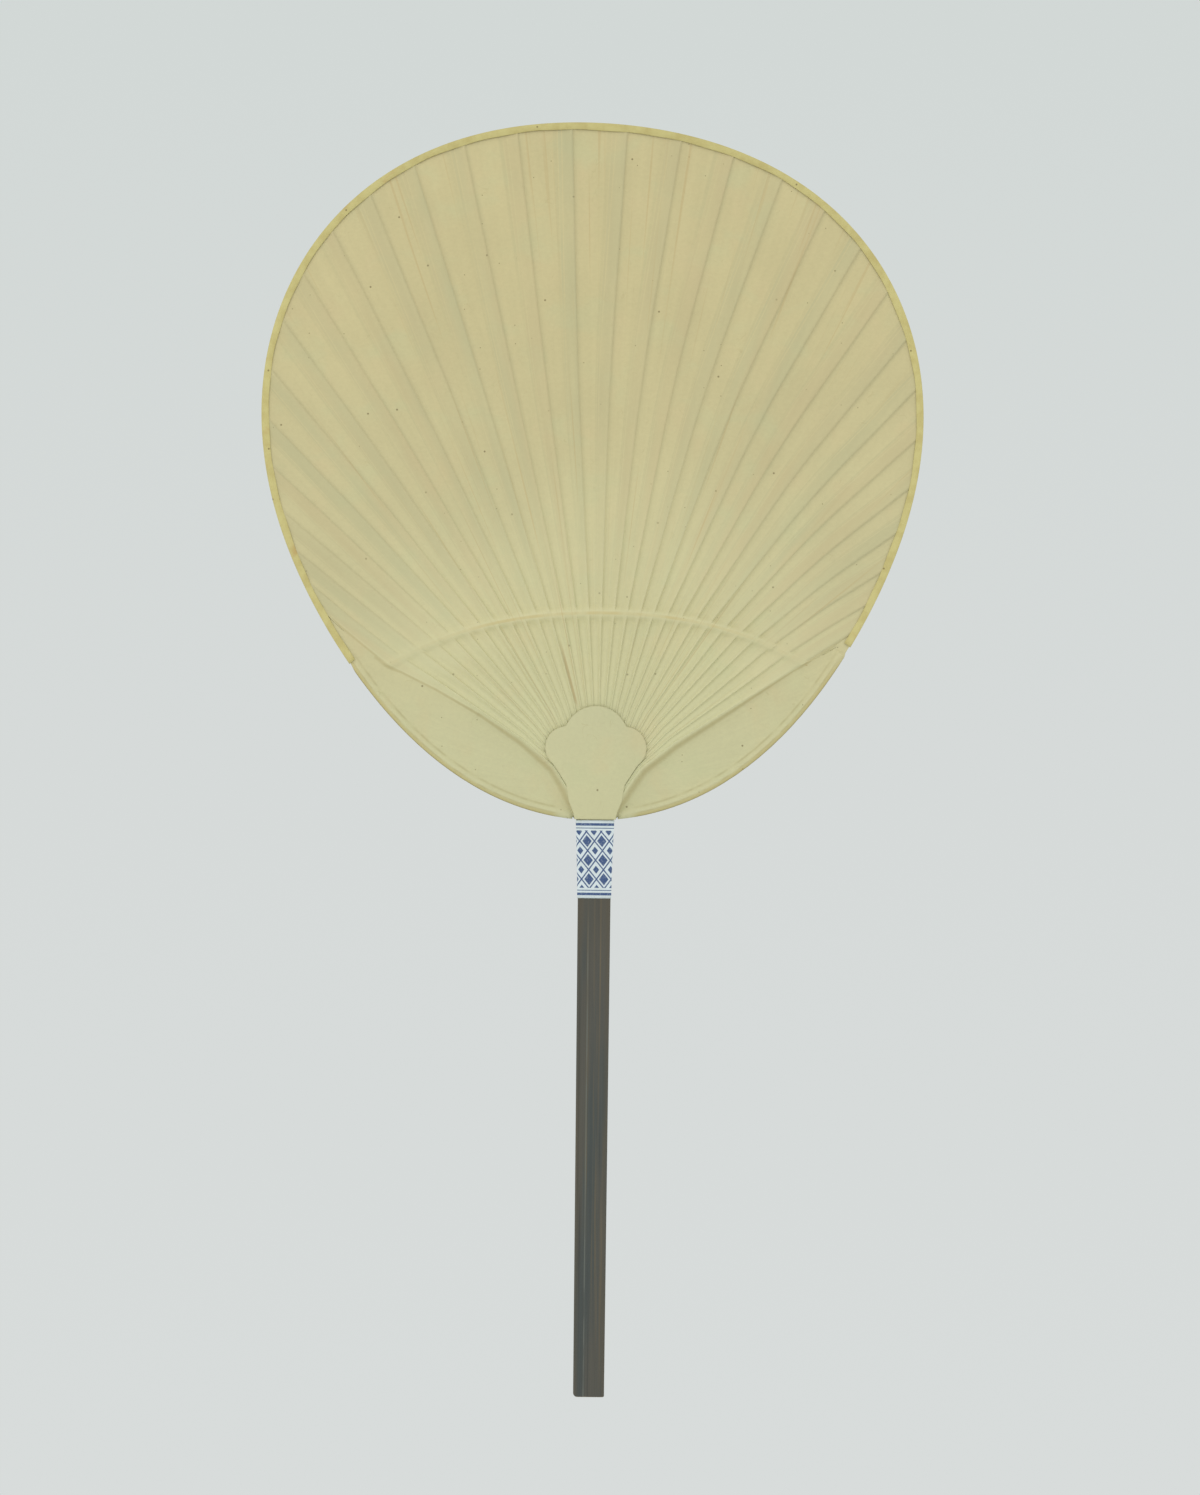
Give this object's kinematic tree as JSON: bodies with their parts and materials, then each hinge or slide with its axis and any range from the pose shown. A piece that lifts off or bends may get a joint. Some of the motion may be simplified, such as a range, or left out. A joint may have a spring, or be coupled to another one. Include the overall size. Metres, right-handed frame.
{
  "type": "hand fan",
  "caption": "Round paper hand fan: a split bamboo handle fans out into ribs laced to a bent bow, covered on both faces with paper.",
  "frame": {"origin": "middle of the handle's butt end, on the fan's middle plane", "axes": "+X to the right seen from the front, +Z along the handle towards the head, +Y to the back; the front faces -Y"},
  "size_m": [0.2504, 0.0066, 0.4821],
  "materials": {
    "bamboo": "worn, grey-brown",
    "bow_bamboo": "plain split bamboo",
    "thread": "twisted cotton",
    "fan_paper": "matte handmade paper",
    "rim_paper": "matte, yellowed",
    "patch_paper": "matte",
    "label_paper": "printed, matte"
  },
  "bodies": {
    "root": {"bamboo_handle_and_ribs": "bamboo", "bow": "bow_bamboo", "weaving_thread": "thread", "front_paper": "fan_paper", "back_paper": "fan_paper", "rim_tape": "rim_paper", "neck_patch_front": "patch_paper", "neck_patch_back": "patch_paper", "label_band": "label_paper"}
  },
  "joints": []
}
